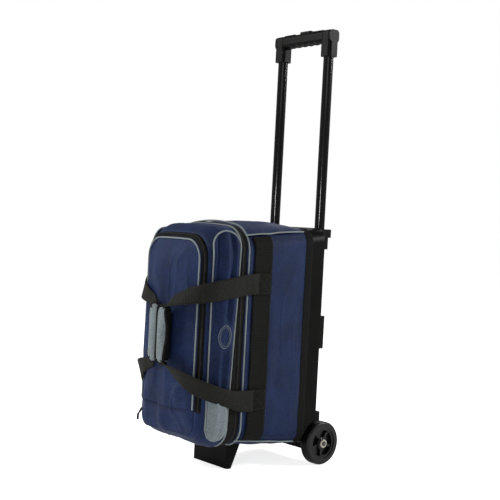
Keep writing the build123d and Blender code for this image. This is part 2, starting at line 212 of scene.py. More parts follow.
def sheet(name, grid, mat, closed=False, keep=None, thick=1.4, centre=BODY_CENTRE):
    """A cloth sheet through a grid of points, thickened inwards."""
    obj = make(name, grid.reshape(-1, 3), grid_faces(*grid.shape[:2], closed, keep), mat)
    turn_outward(obj, centre)
    if thick:
        thicken(obj, "thick", thick, offset=-1)
    return obj


def frames_along(points, closed):
    """Two directions across a path at each point, carried along without twist."""
    if closed:
        along = np.roll(points, -1, 0) - np.roll(points, 1, 0)
    else:
        along = np.gradient(points, axis=0)
    along /= np.linalg.norm(along, axis=1)[:, None] + 1e-9
    normal = np.cross(along[0], [0, 0, 1.0])
    if np.linalg.norm(normal) < .1:
        normal = np.cross(along[0], [1.0, 0, 0])
    normals = []
    for tangent in along:
        normal = unit(normal - tangent * np.dot(normal, tangent))
        normals.append(normal)
    normals = np.array(normals)
    return normals, np.cross(along, normals)


def tube(name, points, radius, mat, closed=False, sides=8):
    points = np.asarray(points, float)
    normals, across = frames_along(points, closed)
    angle = np.arange(sides) * 2 * math.pi / sides
    grid = points[:, None] + radius * (normals[:, None] * np.cos(angle)[None, :, None]
                                       + across[:, None] * np.sin(angle)[None, :, None])
    count = len(points)
    faces = []
    for i in range(count if closed else count - 1):
        j = (i + 1) % count
        for k in range(sides):
            m = (k + 1) % sides
            faces.append((i * sides + k, j * sides + k, j * sides + m, i * sides + m))
    if not closed:
        faces.append(tuple(range(sides)))
        faces.append(tuple((count - 1) * sides + k for k in range(sides))[::-1])
    obj = make(name, grid.reshape(-1, 3), faces, mat)
    with editing(obj) as bm:
        recalc_normals(bm)
    return obj


def lengths_along(points):
    return np.r_[0, np.cumsum(np.linalg.norm(np.diff(points, axis=0), axis=1))]


def smooth_path(points, count):
    """Catmull-Rom through the points, sampled evenly by length; further columns follow."""
    points = np.asarray(points, float)
    ends = np.vstack([2 * points[0] - points[1], points, 2 * points[-1] - points[-2]])
    path = []
    for i in range(len(points) - 1):
        p0, p1, p2, p3 = ends[i:i + 4]
        for t in np.linspace(0, 1, 24, endpoint=False):
            path.append(.5 * (2 * p1 + (p2 - p0) * t
                              + (2 * p0 - 5 * p1 + 4 * p2 - p3) * t ** 2
                              + (3 * p1 - p0 - 3 * p2 + p3) * t ** 3))
    path.append(points[-1])
    path = np.array(path)
    length = lengths_along(path[:, :3])
    stops = np.linspace(0, length[-1], count)
    return np.stack([np.interp(stops, length, column) for column in path.T], 1)


def ribbon(name, points, across, widths, mat, thick, columns):
    """A flat strap with a width direction and a width at each point; UVs are in metres."""
    across = across / np.linalg.norm(across, axis=1)[:, None]
    t = np.linspace(-.5, .5, columns)
    grid = points[:, None] + across[:, None] * (widths[:, None] * t[None])[..., None]
    obj = make(name, grid.reshape(-1, 3), grid_faces(len(points), columns), mat)
    length = lengths_along(points)
    with editing(obj) as bm:
        recalc_normals(bm)
        uv = bm.loops.layers.uv.new("UVMap")
        for face in bm.faces:
            for loop in face.loops:
                i, k = divmod(loop.vert.index, columns)
                loop[uv].uv = (length[i] * MM, t[k] * widths[i] * MM)
    thicken(obj, "thick", thick, offset=0)
    return obj


def box(name, low, high, mat, bevel):
    verts = [(x, y, z) for x in (low[0], high[0]) for y in (low[1], high[1])
             for z in (low[2], high[2])]
    faces = [(0, 1, 3, 2), (4, 6, 7, 5), (0, 4, 5, 1), (2, 3, 7, 6), (0, 2, 6, 4), (1, 5, 7, 3)]
    obj = make(name, np.array(verts, float), faces, mat)
    modifier = obj.modifiers.new("bevel", "BEVEL")
    modifier.width = bevel * MM
    modifier.segments = 3
    return obj


def caster(obj):
    mesh = obj.data
    return BVHTree.FromPolygons([tuple(v.co) for v in mesh.vertices],
                                [tuple(p.vertices) for p in mesh.polygons])


# ------------------------------------------------------------------ stitching
def add_thread(verts, faces, stations, direction, radius):
    """One four-sided thread through three points."""
    along = unit(stations[2] - stations[0])
    across = unit(np.cross(along, np.array(direction)))
    up = np.cross(along, across)
    first = len(verts)
    for point in stations:
        for m in range(4):
            angle = m * math.pi / 2
            verts.append(point + radius * (across * math.cos(angle) + up * math.sin(angle)))
    for j in range(2):
        for m in range(4):
            n = (m + 1) % 4
            faces.append((first + j * 4 + m, first + j * 4 + n,
                          first + j * 4 + 4 + n, first + j * 4 + 4 + m))
    faces.append((first, first + 3, first + 2, first + 1))
    faces.append((first + 8, first + 9, first + 10, first + 11))


def stitch_line(name, tree, path, direction, mat, body, slot,
                radius=.45, dash=4.4, gap=.32, lift=.35):
    """Short raised threads on the cloth, found by casting a path onto it."""
    direction = Vector(direction).normalized()
    cast_from = 200.0
    runs, run = [], []
    for point in smooth_path(path, 260):
        origin = Vector(world(point)) - direction * cast_from * MM
        hit = tree.ray_cast(origin, direction)[0]
        if hit is None:
            runs.append(run)
            run = []
        else:
            run.append(from_world(hit) - np.array(direction) * lift)
    runs.append(run)
    verts, faces = [], []
    for run in runs:
        if len(run) < 4:
            continue
        run = np.array(run)
        length = lengths_along(run)
        for k in range(int(length[-1] / dash)):
            stations = [np.array([np.interp(t * dash, length, run[:, c]) for c in range(3)])
                        for t in (k, k + .5 * (1 - gap), k + 1 - gap)]
            add_thread(verts, faces, stations, direction, radius)
    attach(make(name, np.array(verts), faces, mat), body, slot)


def stitch_box(name, side, x, y0, y1, z0, z1):
    """Flat dashes of thread in a rectangle with a cross, at one x."""
    verts, faces = [], []
    lines = (((y0, z0), (y1, z0)), ((y1, z0), (y1, z1)), ((y1, z1), (y0, z1)),
             ((y0, z1), (y0, z0)), ((y0, z0), (y1, z1)), ((y0, z1), (y1, z0)))
    for start, end in lines:
        count = max(1, int(math.dist(start, end) / 4.2))
        for i in range(count):
            head, tail = [[start[k] + (end[k] - start[k]) * t for k in (0, 1)]
                          for t in ((i + .15) / count, (i + .8) / count)]
            along = np.array(tail) - np.array(head)
            across = unit_across(along) * .45
            first = len(verts)
            for point, sign in ((head, 1), (tail, 1), (tail, -1), (head, -1)):
                verts.append((side * (x + .25), point[0] + sign * across[0],
                              point[1] + sign * across[1]))
            faces.append((first, first + 1, first + 2, first + 3))
    obj = make(name, np.array(verts), faces, THREAD, smooth=False)
    thicken(obj, "t", .5, offset=0)
    attach(obj, "bag", "webbing")


def unit_across(along):
    return np.array([-along[1], along[0]]) / (np.linalg.norm(along) + 1e-9)


# ------------------------------------------------------------------ shader helpers
WAVE_SCALE = .16        # wave texture scale for one unit of weave or rib scale
GRAIN_SCALE = 4         # noise texture scale for one unit of grain scale


def srgb(*levels):
    """0..255 display levels to a linear colour."""
    return tuple(((v / 255) / 12.92 if v <= 10.3 else (((v / 255) + .055) / 1.055) ** 2.4)
                 for v in levels) + (1,)


def feed(tree, target, inputs):
    """Link each socket, or set each value, given for a node's inputs."""
    for key, value in inputs.items():
        if isinstance(value, bpy.types.NodeSocket):
            tree.links.new(value, target.inputs[key])
        else:
            target.inputs[key].default_value = value


def node(tree, kind, inputs, **settings):
    made = tree.nodes.new("ShaderNode" + kind)
    for key, value in settings.items():
        setattr(made, key, value)
    feed(tree, made, inputs)
    return made


def ramp(tree, factor, stops, colours=None):
    made = node(tree, "ValToRGB", {"Fac": factor})
    for i in (0, 1):
        element = made.color_ramp.elements[i]
        element.position = stops[i]
        if colours:
            element.color = colours[i]
    return made.outputs["Color"]


def mix_colours(tree, factor, first, second, **settings):
    # a colour Mix node takes its colours at inputs 6 and 7 and gives output 2
    made = node(tree, "Mix", {"Factor": factor, 6: first, 7: second},
                data_type="RGBA", **settings)
    return made.outputs[2]


def stack_height(tree, height, texture, amount):
    scaled = node(tree, "Math", {0: texture, 1: amount}, operation="MULTIPLY").outputs[0]
    if height is None:
        return scaled
    return node(tree, "Math", {0: height, 1: scaled}, operation="ADD").outputs[0]


def camera_switch(tree, unseen, seen):
    """One value for light bouncing about, another for what the camera sees directly."""
    path = node(tree, "LightPath", {})
    return node(tree, "MapRange", {"To Min": unseen, "To Max": seen,
                                   "Value": path.outputs["Is Camera Ray"]}).outputs[0]


def material(name, base, vary=.12, rough=.8, rough_vary=.06, spec=.35, metallic=0.0, coat=0.0,
             sheen=0.0, worn=None, weave=0.0, weave_scale=0, ribs=0.0, rib_scale=0,
             uv_ribs=False, grain=0.0, grain_scale=300):
    """Mottled colour and roughness, with weave, ribs and grain as relief, and painted shade
    between the ribs.

    worn colours the raised edges; uv_ribs runs the ribs across a strap by its UVs.
    """
    mat = bpy.data.materials.new(name)
    mat.use_nodes = True
    tree = mat.node_tree
    shader = tree.nodes["Principled BSDF"]
    coords = tree.nodes.new("ShaderNodeTexCoord")
    place = coords.outputs["Object"]

    # mottling
    broad = node(tree, "TexNoise", {"Vector": place, "Scale": 14, "Detail": 5}).outputs["Fac"]
    fine = node(tree, "TexNoise", {"Vector": place, "Scale": 420, "Detail": 2}).outputs["Fac"]
    soft = node(tree, "Math", {0: broad, 1: .35}, operation="MULTIPLY").outputs[0]
    mottle = node(tree, "Math", {0: fine, 1: .8, 2: soft}, operation="MULTIPLY_ADD").outputs[0]
    dark = tuple(c * (1 - vary) for c in base[:3]) + (1,)
    light = tuple(min(1, c * (1 + vary)) for c in base[:3]) + (1,)
    colour = ramp(tree, mottle, stops=(.43, .72), colours=(dark, light))
    if worn:
        geometry = node(tree, "NewGeometry", {})
        edges = ramp(tree, geometry.outputs["Pointiness"], stops=(.52, .6))
        colour = mix_colours(tree, edges, colour, worn)
    roughness = node(tree, "MapRange", {"To Min": max(0, rough - rough_vary),
                                        "To Max": min(1, rough + rough_vary),
                                        "Value": broad}).outputs[0]
    feed(tree, shader, {"Roughness": roughness, "Metallic": metallic,
                        "Specular IOR Level": spec})
    if sheen:
        tint = tuple(min(1, c * 5 + .05) for c in base[:3]) + (1,)
        feed(tree, shader, {"Sheen Weight": sheen, "Sheen Roughness": .45, "Sheen Tint": tint})
    if coat:
        feed(tree, shader, {"Coat Weight": coat})

    # relief
    height = None
    if weave:
        for axis in ("X", "Y", "Z"):
            wave = node(tree, "TexWave", {"Scale": weave_scale * WAVE_SCALE, "Distortion": .3,
                                          "Vector": place}, bands_direction=axis)
            height = stack_height(tree, height, wave.outputs["Fac"], weave)
    if ribs:
        wave = node(tree, "TexWave", {"Scale": rib_scale * WAVE_SCALE,
                                      "Vector": coords.outputs["UV"] if uv_ribs else place},
                    bands_direction="X" if uv_ribs else "Z")
        height = stack_height(tree, height, wave.outputs["Fac"], ribs)
        # painted shade: the colour is darkened between the ribs, more for deep ribs
        shade = .85 if ribs > 1.3 else .55      # deep ribs are darker between
        colour = mix_colours(tree, shade, colour, wave.outputs["Color"], blend_type="MULTIPLY")
    if grain:
        speckle = node(tree, "TexNoise", {"Scale": grain_scale * GRAIN_SCALE, "Detail": 3,
                                          "Vector": place})
        height = stack_height(tree, height, speckle.outputs["Fac"], grain)
    feed(tree, shader, {"Base Color": colour})
    if height is not None:
        bump = node(tree, "Bump", {"Strength": .55, "Distance": .0006, "Height": height})
        feed(tree, shader, {"Normal": bump.outputs["Normal"]})
    return mat


# ------------------------------------------------------------------ materials
NAVY = material("navy_nylon", srgb(20, 38, 76), vary=.5, rough=.55, weave=.22, weave_scale=5200,
                grain=.3, grain_scale=500, sheen=.05, worn=srgb(32, 52, 94), spec=.22)
LINING = material("lining_black", srgb(22, 23, 26), vary=.2, rough=.85, weave=.5,
                  weave_scale=2600)
BLACK_CLOTH = material("black_nylon", srgb(9, 9, 8), vary=.4, weave=.6, weave_scale=2200,
                       grain=.5, sheen=.04, worn=srgb(22, 22, 20), spec=.18)
TAPE = material("zip_tape", srgb(16, 16, 14), vary=.4, rough=.75, ribs=.8, rib_scale=560,
                weave=.3, weave_scale=3000, sheen=.04, spec=.2)
WEBBING = material("webbing", srgb(36, 36, 32), vary=.5, ribs=1.4, rib_scale=560, uv_ribs=True,
                   grain=.5, sheen=.06, spec=.25)
BAND_WEBBING = material("webbing_band", srgb(17, 17, 14), vary=.5, rough=.82, ribs=1.4,
                        rib_scale=560, grain=.5, sheen=.04, spec=.2)
CORD = material("piping_cord", srgb(158, 170, 173), rough=.55, ribs=.6, rib_scale=3200, sheen=.1)
GREY = material("grey_cloth", srgb(122, 133, 137), vary=.3, weave=.6, weave_scale=2200,
                grain=.5, sheen=.15, worn=srgb(150, 162, 166))
EMBLEM = material("emblem_print", srgb(104, 114, 128), rough=.6, grain=.3)
THREAD = material("thread", srgb(46, 46, 42), vary=.2, ribs=.5, rib_scale=6000)
NAVY_THREAD = material("thread_navy", srgb(26, 34, 62), vary=.2, ribs=.5, rib_scale=6000)
PLASTIC = material("black_plastic", srgb(7, 7, 6), vary=.3, rough=.44, grain=.35,
                   grain_scale=500, worn=srgb(14, 14, 13), spec=.09)
SHELL = material("shell_plastic", srgb(6, 6, 5), vary=.3, rough=.42, grain=.25,
                 grain_scale=350, worn=srgb(15, 15, 14), spec=.08)
RUBBER = material("tyre_rubber", srgb(11, 11, 11), vary=.15, rough=.34, grain=.25,
                  grain_scale=260, worn=srgb(24, 24, 24))
HUB = material("hub_plastic", srgb(15, 15, 15), rough=.28, grain=.2)
CHROME = material("chrome_cap", srgb(196, 190, 178), vary=.05, rough=.16, metallic=1)
STEEL = material("steel", srgb(150, 150, 148), vary=.08, rough=.32, metallic=1)
TUBE_PAINT = material("tube_paint", srgb(3, 3, 3), vary=.1, rough=.13, rough_vary=.03, coat=.2)
FOAM = material("foam", srgb(58, 58, 62), vary=.15, rough=.95, grain=1.2, grain_scale=200)
COIL = material("zip_coil", srgb(20, 20, 19), vary=.15, rough=.42, ribs=1.4, rib_scale=4200)
ZIP_METAL = material("zip_metal", srgb(46, 46, 46), vary=.1, rough=.3, metallic=.8,
                     worn=srgb(120, 120, 118))
SCREW = material("screw_black", srgb(24, 24, 24), vary=.1, rough=.4, metallic=.6)
material("pull_metal", srgb(150, 150, 150), vary=.08, rough=.25, metallic=1)


def floor_material():
    mat = material("floor", (0.93, 0.93, 0.93, 1), vary=.01, rough=.9)
    tree = mat.node_tree
    feed(tree, tree.nodes["Principled BSDF"],
         {"Emission Color": (1, 1, 1, 1),
          "Emission Strength": camera_switch(tree, unseen=.1, seen=.8)})
    return mat


FLOOR = floor_material()

# ------------------------------------------------------------------ CAD pieces
BY_SLOT = {
    "navy_fabric": NAVY, "black_fabric": LINING, "piping": CORD, "grey_fabric": GREY,
    "webbing": BAND_WEBBING, "foam": FOAM, "board": PLASTIC, "black_plastic": PLASTIC,
    "tyre": RUBBER, "chrome": CHROME, "steel": STEEL, "tube": TUBE_PAINT, "zip_coil": COIL,
    "zip_metal": ZIP_METAL,
}
BY_NODE = {
    "grip_screws": SCREW, "bracket_screws": SCREW, "back_shell": SHELL,
    "wheel_hub_right": HUB, "wheel_hub_left": HUB, "front_foot": SHELL,
}
SOFT_EDGED = (
    "tyre_right", "tyre_left", "grip_front", "grip_rear", "handle_tubes", "back_shell",
    "front_foot", "axle_bracket", "rear_skid", "handle_bracket", "release_button",
    "wheel_hub_right", "wheel_hub_left", "hub_cap_right", "hub_cap_left",
)
for part in frame["record"]["subparts"]:
    slots = NODES[part["node"]].data.materials
    slots.clear()
    slots.append(BY_NODE.get(part["node"], BY_SLOT[part["material_slot"]]))
for node_name in SOFT_EDGED:
    soften = NODES[node_name].modifiers.new("soft", "BEVEL")
    soften.width = .6 * MM
    soften.segments = 2
    soften.limit_method = "ANGLE"
    soften.angle_limit = math.radians(40)
    soften.harden_normals = False

# ------------------------------------------------------------------ body sections
BODY_BACK, BODY_DEPTH = -17, 235.0
PANEL_BACK, PANEL_FRONT = -73, -253
SEAM_ANGLE = 50         # degrees up the corner where side panels meet top and bottom
# rise of the top and drop of the bottom at mid width: depths, then amounts
CROWN = ([-256, -225, -160, -112, -86, -70], [20, 21, 20, 15, 6, 0])
BELLY = ([-256, -200, -120, -80], [6, 8, 8, 1])


def body_size(y):
    """Half width, bottom, top and corner radius; the body tapers towards the front."""
    t = (BODY_BACK - y) / BODY_DEPTH
    return 127 - 2 * t, 48 + 22 * t, 558 - 20 * t, 30 + 12 * t


def crown(y):
    return float(np.interp(y, *CROWN))


def belly(y):
    return float(np.interp(y, *BELLY))


def dome(x, half):
    """Share of the crown or belly reached at x."""
    return np.clip(1 - (np.abs(x) / (half - 4)) ** 2.2, 0, 1)


def arc(cx, cz, radius, start, end, count, endpoint=True):
    return [(cx + radius * math.cos(math.radians(a)), cz + radius * math.sin(math.radians(a)))
            for a in np.linspace(start, end, count, endpoint=endpoint)]


def at_depth(outline, y):
    return np.c_[outline[:, 0], np.full(len(outline), y), outline[:, 1]]


def side_curve(y, count, off=1.0, angle=SEAM_ANGLE):
    """The right side of the body section, from the lower corner to the upper one."""
    half, low, high, radius = body_size(y)
    outer = radius + off
    lower = arc(half - radius, low + radius, outer, -angle, 0, 10)
    upper = arc(half - radius, high - radius, outer, 0, angle, 10)
    flat = [(half + off, z) for z in np.linspace(low + radius, high - radius, count - 18)[1:-1]]
    return np.array(lower + flat + upper)


def side_panel(side, tag):
    depths = np.linspace(PANEL_BACK, PANEL_FRONT, 76)
    grid = np.array([at_depth(side_curve(y, 130), y) for y in depths])
    y, z = grid[..., 1], grid[..., 2]
    v = (z - 60) / 480
    to_end = 60 * np.minimum(np.clip(v, 0, 1), np.clip(1 - v, 0, 1)) * 2
    to_seam = np.minimum(np.minimum(PANEL_BACK - y, y - PANEL_FRONT), to_end)
    edge = np.clip(to_seam / 14, 0, 1)
    puff = (2.2 * np.sin(np.clip((PANEL_BACK - y) / 180, 0, 1) * math.pi)
            * np.sin(np.clip(v, 0, 1) * math.pi))
    relief = folds(y, z * .5, amp=4.0, seed=3 if side > 0 else 5, size_a=44, size_b=80)
    ends = (folds(y * 1.5, z, amp=1.2, seed=9 if side > 0 else 11, size_a=40, size_b=40)
            * np.clip((np.abs(v - .5) - .33) * 6, 0, 1))
    off = edge * (puff + relief + ends)
    # the webbing band holds the cloth flat
    held = np.clip(1 - (np.abs(y - (BAND_BACK + BAND_FRONT) / 2) - 28) / 8, 0, 1)
    grid[..., 0] += off * (1 - held) + np.minimum(off, 1.2) * held
    grid[..., 0] *= side
    return attach(sheet(f"side_panel_{tag}_cloth", grid, NAVY), "bag", "navy_fabric",
                  f"side_panel_{tag}")


def cap_curve(y, top):
    """The top or bottom of the body section, right to left."""
    half, low, high, radius = body_size(y)
    off = 1.0
    corner = np.array(arc(half - radius, -radius, radius + off, SEAM_ANGLE, 90, 10))
    flat = np.linspace(half - radius, -(half - radius), 64)[1:-1]
    x = np.r_[corner[:, 0], flat, -corner[::-1, 0]]
    rise = np.r_[corner[:, 1], np.full(len(flat), off), corner[::-1, 1]]
    bulge = (crown(y) if top else belly(y)) * dome(x, half)
    return np.c_[x, high + rise + bulge if top else low - rise - bulge]


def cap_panel(top, name, amp, seed):
    depths = np.linspace(PANEL_BACK, PANEL_FRONT, 60)
    grid = np.array([at_depth(cap_curve(y, top), y) for y in depths])
    x, y = grid[..., 0], grid[..., 1]
    to_seam = np.minimum(np.minimum(PANEL_BACK - y, y - PANEL_FRONT), 118 - np.abs(x))
    edge = np.clip(to_seam / 16, 0, 1)
    grid[..., 2] += edge * folds(x, y, amp=amp, seed=seed, size_a=55, size_b=40)
    attach(sheet(f"{name}_cloth", grid, NAVY), "bag", "navy_fabric", name)


BAND_BACK, BAND_FRONT = -181, -233      # side webbing bands
SIDE_PANELS = {side: side_panel(side, tag) for side, tag in SIDES}
cap_panel(True, "top_panel", amp=2.0, seed=21)
cap_panel(False, "bottom_panel", amp=2.5, seed=27)


def rounded_rect(half, low, high, radius, crown=0.0, belly=0.0, low_radius=None):
    """Outline from the bottom middle, anticlockwise seen from the front (+x first)."""
    low_radius = radius if low_radius is None else low_radius
    upright, flat, corner = 44, 22, 12      # points on a side, half the bottom, a corner

    def line(x0, z0, x1, z1, count):
        return [(x0 + (x1 - x0) * t, z0 + (z1 - z0) * t)
                for t in np.linspace(0, 1, count, endpoint=False)]

    def low_corner(side, start):
        return arc(side * (half - low_radius), low + low_radius, low_radius,
                   start, start + 90, corner, endpoint=False)

    def high_corner(side, start):
        return arc(side * (half - radius), high - radius, radius,
                   start, start + 90, corner, endpoint=False)

    outline = np.array(
        line(0, low, half - low_radius, low, flat) + low_corner(1, -90)
        + line(half, low + low_radius, half, high - radius, upright) + high_corner(1, 0)
        + line(half - radius, high, -(half - radius), high, flat * 2) + high_corner(-1, 90)
        + line(-half, high - radius, -half, low + low_radius, upright) + low_corner(-1, 180)
        + line(-(half - low_radius), low, 0, low, flat))
    share = np.clip(1 - (np.abs(outline[:, 0]) / half) ** 2, 0, 1)
    upper = outline[:, 1] > (low + high) / 2
    outline[:, 1] += np.where(upper, crown * share, -belly * share)
    return outline


def ring(y, *sizes, **shape):
    return at_depth(rounded_rect(*sizes, **shape), y)


def stack_rings(rings):
    return np.array(rings).transpose(1, 0, 2)


def open_run(points, mask):
    """The one unbroken stretch of a closed ring where the mask holds."""
    start = next(i for i in range(len(points)) if mask[i] and not mask[i - 1])
    return np.roll(points, -start, axis=0)[np.roll(mask, -start)]


def edge_binding():
    """Black cloth strip between the panels and the moulded shell."""
    rings = []
    # depth, distance outside the body section
    for y, off in ((-55.0, .4), (-56.5, 1.6), (-60, 2.0), (-66, 2.1), (-72, 2.1), (-75.5, 1.9),
                   (-77.0, 1.2)):
        half, low, high, radius = body_size(y)
        rings.append(ring(y, half + off, low - off, high + off, radius + off,
                          crown=crown(y) * .5))
    grid = stack_rings(rings)
    grid[..., 0] += .25 * noise(grid[..., 2] / 9, grid[..., 1] / 9, 2)
    attach(sheet("edge_binding", grid, BLACK_CLOTH, closed=True, thick=1.2),
           "bag", "black_fabric")


edge_binding()

# ------------------------------------------------------------------ main zip
ZIP_HALF, ZIP_LOW, ZIP_HIGH, ZIP_RADIUS = 126.0, 68.5, 541.0, 44
ZIP_LID_EDGE = -265.4


def lean(z):
    """Depth added to the lid's rear edge: back at the top, forward at the foot."""
    return np.interp(z, [70, 200, 300, 400, 541], [-9.0, -4.0, .5, 5.0, 9.0])


def zip_ring(y, off, crown):
    return ring(y, ZIP_HALF + off, ZIP_LOW - off, ZIP_HIGH + off, ZIP_RADIUS + off,
                crown=crown, belly=3)


def zip_tape(part, body, stations, leaning):
    grid = stack_rings([zip_ring(*station) for station in stations])
    if leaning:
        grid[..., 1] += lean(grid[..., 2]) * np.clip((ZIP_LID_EDGE - grid[..., 1]) / 14, 0, 1)
    x, y, z = (grid[..., i] for i in range(3))
    wave = .5 * noise(z / 26, y / 20, 4) + .5 * noise(x / 26, y / 20, 6)
    grid[..., 0] += wave * np.sign(x) * .8
    grid[..., 2] += wave * .8 * (z > 500)
    name = f"zip_tape_{part}"
    attach(sheet(f"{name}_cloth", grid, TAPE, closed=True, thick=1.2),
           body, "black_fabric", name)


# depth, distance outside the zip outline, crown
zip_tape("body", "bag", ((-249.5, -.6, 18), (-252.5, .2, 18), (-257, .4, 17.5),
                         (-261.5, .5, 17), (-264.6, .7, 16.5)), leaning=False)
zip_tape("lid", "lid", ((ZIP_LID_EDGE, 1.6, 16.5), (-268.5, 1.2, 16), (-272, 1.0, 15),
                        (-276, .6, 14), (-279.5, -.4, 13)), leaning=True)
for y, part, body in ((-264.0, "body", "bag"), (-266.0, "lid", "lid")):
    path = zip_ring(y, 1.1, 16.6)
    path = open_run(path, path[:, 0] > -112)        # the left side stays open for the hinge
    attach(tube(f"zip_coil_{part}_half", smooth_path(path, 420), 1.5, COIL), body, "zip_coil")


# ------------------------------------------------------------------ piping on the body
def edge_piping(side, top):
    """Piping along one of the long seams between side and top or bottom panel."""
    points = []
    angle = math.radians(SEAM_ANGLE)
    for y in np.linspace(-77, -251, 50):
        half, low, high, radius = body_size(y)
        outer = radius + 2.6
        x = half - radius + outer * math.cos(angle)
        if top:
            z = high - radius + outer * math.sin(angle) + crown(y) * dome(x, half)
        else:
            z = low + radius - outer * math.sin(angle) - belly(y) * dome(x, half)
        z += (.9 * float(noise(y / 30, 3 if top else 8, 3))
              * math.sin(math.pi * (-77 - y) / 174))
        points.append((side * x, y, z))
    name = f"piping_edge_{'top' if top else 'low'}_{'r' if side > 0 else 'l'}"
    attach(tube(name, points, 1.7, CORD), "bag", "piping")


attach(tube("piping_body_ring", zip_ring(-249.6, 3.4, 19), 1.8, CORD, closed=True),
       "bag", "piping", "piping_body")
for side, _ in SIDES:
    for top in (True, False):
        edge_piping(side, top)

# ------------------------------------------------------------------ side webbing bands
ANCHOR_X = 133.6        # outer face of the carry loops' sewn ends
ANCHORS = (("upper", 427), ("lower", 168))


def side_webbing(side, tag):
    grid = np.array([at_depth(side_curve(y, 120, off=3.6, angle=44), y)
                     for y in np.linspace(BAND_BACK, BAND_FRONT, 14)])
    grid[..., 0] += .9 * noise(grid[..., 2] / 45, grid[..., 1] / 30, 8) + 1.0
    grid[..., 1] += 1.2 * noise(grid[..., 2] / 120, 1.5, 9)
    grid[..., 0] *= side
    obj = sheet(f"side_webbing_{tag}_cloth", grid, BAND_WEBBING, thick=1.8)
    attach(obj, "bag", "webbing", f"side_webbing_{tag}")
    tree = caster(obj)
    for k, y in enumerate((-184.5, -229.5)):
        stitch_line(f"stitch_band_{k}_{tag}", tree,
                    [(side * 126, y, z) for z in (90, 300, 520)],
                    (-side, 0, 0), THREAD, "bag", "webbing", radius=.35)


def loop_anchor(side, tag, level, z):
    faces = sorted((side * 131.2, side * ANCHOR_X))
    obj = box(f"anchor_{level}_{tag}", (faces[0], -231, z - 24), (faces[1], -183, z + 24),
              BAND_WEBBING, bevel=.8)
    replaced = ("loop_anchors",) if level == "upper" and side > 0 else ()
    attach(obj, "bag", "webbing", *replaced)
    stitch_box(f"stitch_{level}_{tag}", side, ANCHOR_X, -227, -187, z - 20, z + 20)


for side, tag in SIDES:
    side_webbing(side, tag)
    for level, z in ANCHORS:
        loop_anchor(side, tag, level, z)

# ------------------------------------------------------------------ lid gusset
LID_BACK, LID_FRONT = -280.5, -346
LID = np.array([  # depth, half width, bottom, top, radius, crown, belly
    (-346, 107.5, 84.0, 530.0, 52, 3, 0),
    (-341, 111.0, 81.0, 535.5, 53, 4, 0),
    (-331, 115.5, 75.5, 541.5, 52, 5, 1),
    (-318, 120.0, 70.0, 547.0, 51, 6, 2),
    (-300, 123.6, 65.5, 548.5, 49, 7, 2),
    (-284, 125.4, 65.5, 547.0, 47, 9, 2),
    (-280.5, 125.2, 67.0, 545.0, 46, 9, 2),
])


def lid_size(y):
    return [np.interp(y, LID[:, 0], LID[:, k]) for k in range(1, 7)]


def lid_gusset():
    rings = []
    for y in np.linspace(LID_BACK, LID_FRONT, 40):
        *sizes, crown, belly = lid_size(y)
        low_radius = float(np.interp(y, [LID_FRONT, LID_BACK], [28, 46]))
        rings.append(ring(y, *sizes, crown=crown, belly=belly, low_radius=low_radius))
    grid = stack_rings(rings)
    grid[..., 1] += lean(grid[..., 2]) * np.clip(1 - (LID_BACK - grid[..., 1]) / 65, 0, 1)
    outward = grid - np.array([0, 0, 306.0])
    outward[..., 1] = 0
    outward /= np.linalg.norm(outward, axis=2)[..., None]
    x, y, z = (grid[..., i] for i in range(3))
    edge = np.clip(np.minimum(LID_BACK - y, y - LID_FRONT) / 12, 0, 1)
    relief = folds(x * .8 + y, z * .6, amp=3.6, seed=33, size_a=50, size_b=60)
    grid += outward * (edge * relief)[..., None]
    attach(sheet("lid_gusset_cloth", grid, NAVY, closed=True, centre=LID_CENTRE),
           "lid", "navy_fabric", "lid_gusset")


def arch_tape():
    """Black zip tape over the top and down both sides; navy cloth closes its foot."""
    grid = stack_rings([
        ring(-346, 107.5, 84, 530, 52, crown=3, low_radius=28),
        ring(-350, 105.5, 86, 527.5, 50, crown=3, low_radius=27),
        ring(-354, 102, 88.5, 523.5, 47, crown=3, low_radius=26),
        ring(-357, 98.5, 91, 520, 44, crown=2.5, low_radius=25),
    ])
    x, z = grid[:, 1, 0], grid[:, 1, 2]
    taped = z > np.where(x > 0, 146, 124)
    for name, mat, slot, rows in (
            ("shoe_zip_tape", TAPE, "black_fabric", taped),
            ("shoe_pocket_foot_cloth", NAVY, "navy_fabric", ~taped)):
        attach(sheet(name, grid, mat, closed=True, keep=lambda i: rows[i], thick=1.2,
                     centre=LID_CENTRE), "lid", slot)


def arch_cords():
    path = ring(-352.4, 104.6, 86, 526.4, 49.5, crown=3, low_radius=26)
    path = open_run(path, path[:, 2] > 140)
    attach(tube("shoe_zip_coil_run", smooth_path(path, 360), 1.9, COIL),
           "lid", "zip_coil", "shoe_zip_coil")
    path = ring(-360.4, 95.4, 93.4, 517.4, 42, crown=2.5, low_radius=25)
    path = open_run(path, path[:, 2] > 150)
    attach(tube("piping_front", smooth_path(path, 360), 1.9, CORD), "lid", "piping")


def lid_piping():
    """Piping on the lid's rear edge, over the top and under the foot only."""
    path = ring(-280.2, 127.2, 65.2, 546.6, 46, crown=9, belly=2)
    path[:, 1] += lean(path[:, 2])
    z = path[:, 2]
    attach(tube("piping_lid_over_top", open_run(path, z > 500), 1.9, CORD),
           "lid", "piping", "piping_lid")
    attach(tube("piping_lid_under", open_run(path, z < 118), 1.9, CORD), "lid", "piping")


lid_gusset()
arch_tape()
arch_cords()
lid_piping()

# ------------------------------------------------------------------ front panel
PANEL_Y = -357
PANEL_HALF, PANEL_LOW, PANEL_HIGH, PANEL_RADIUS = 98.4, 91.0, 520.0, 44
PANEL_MID = 306


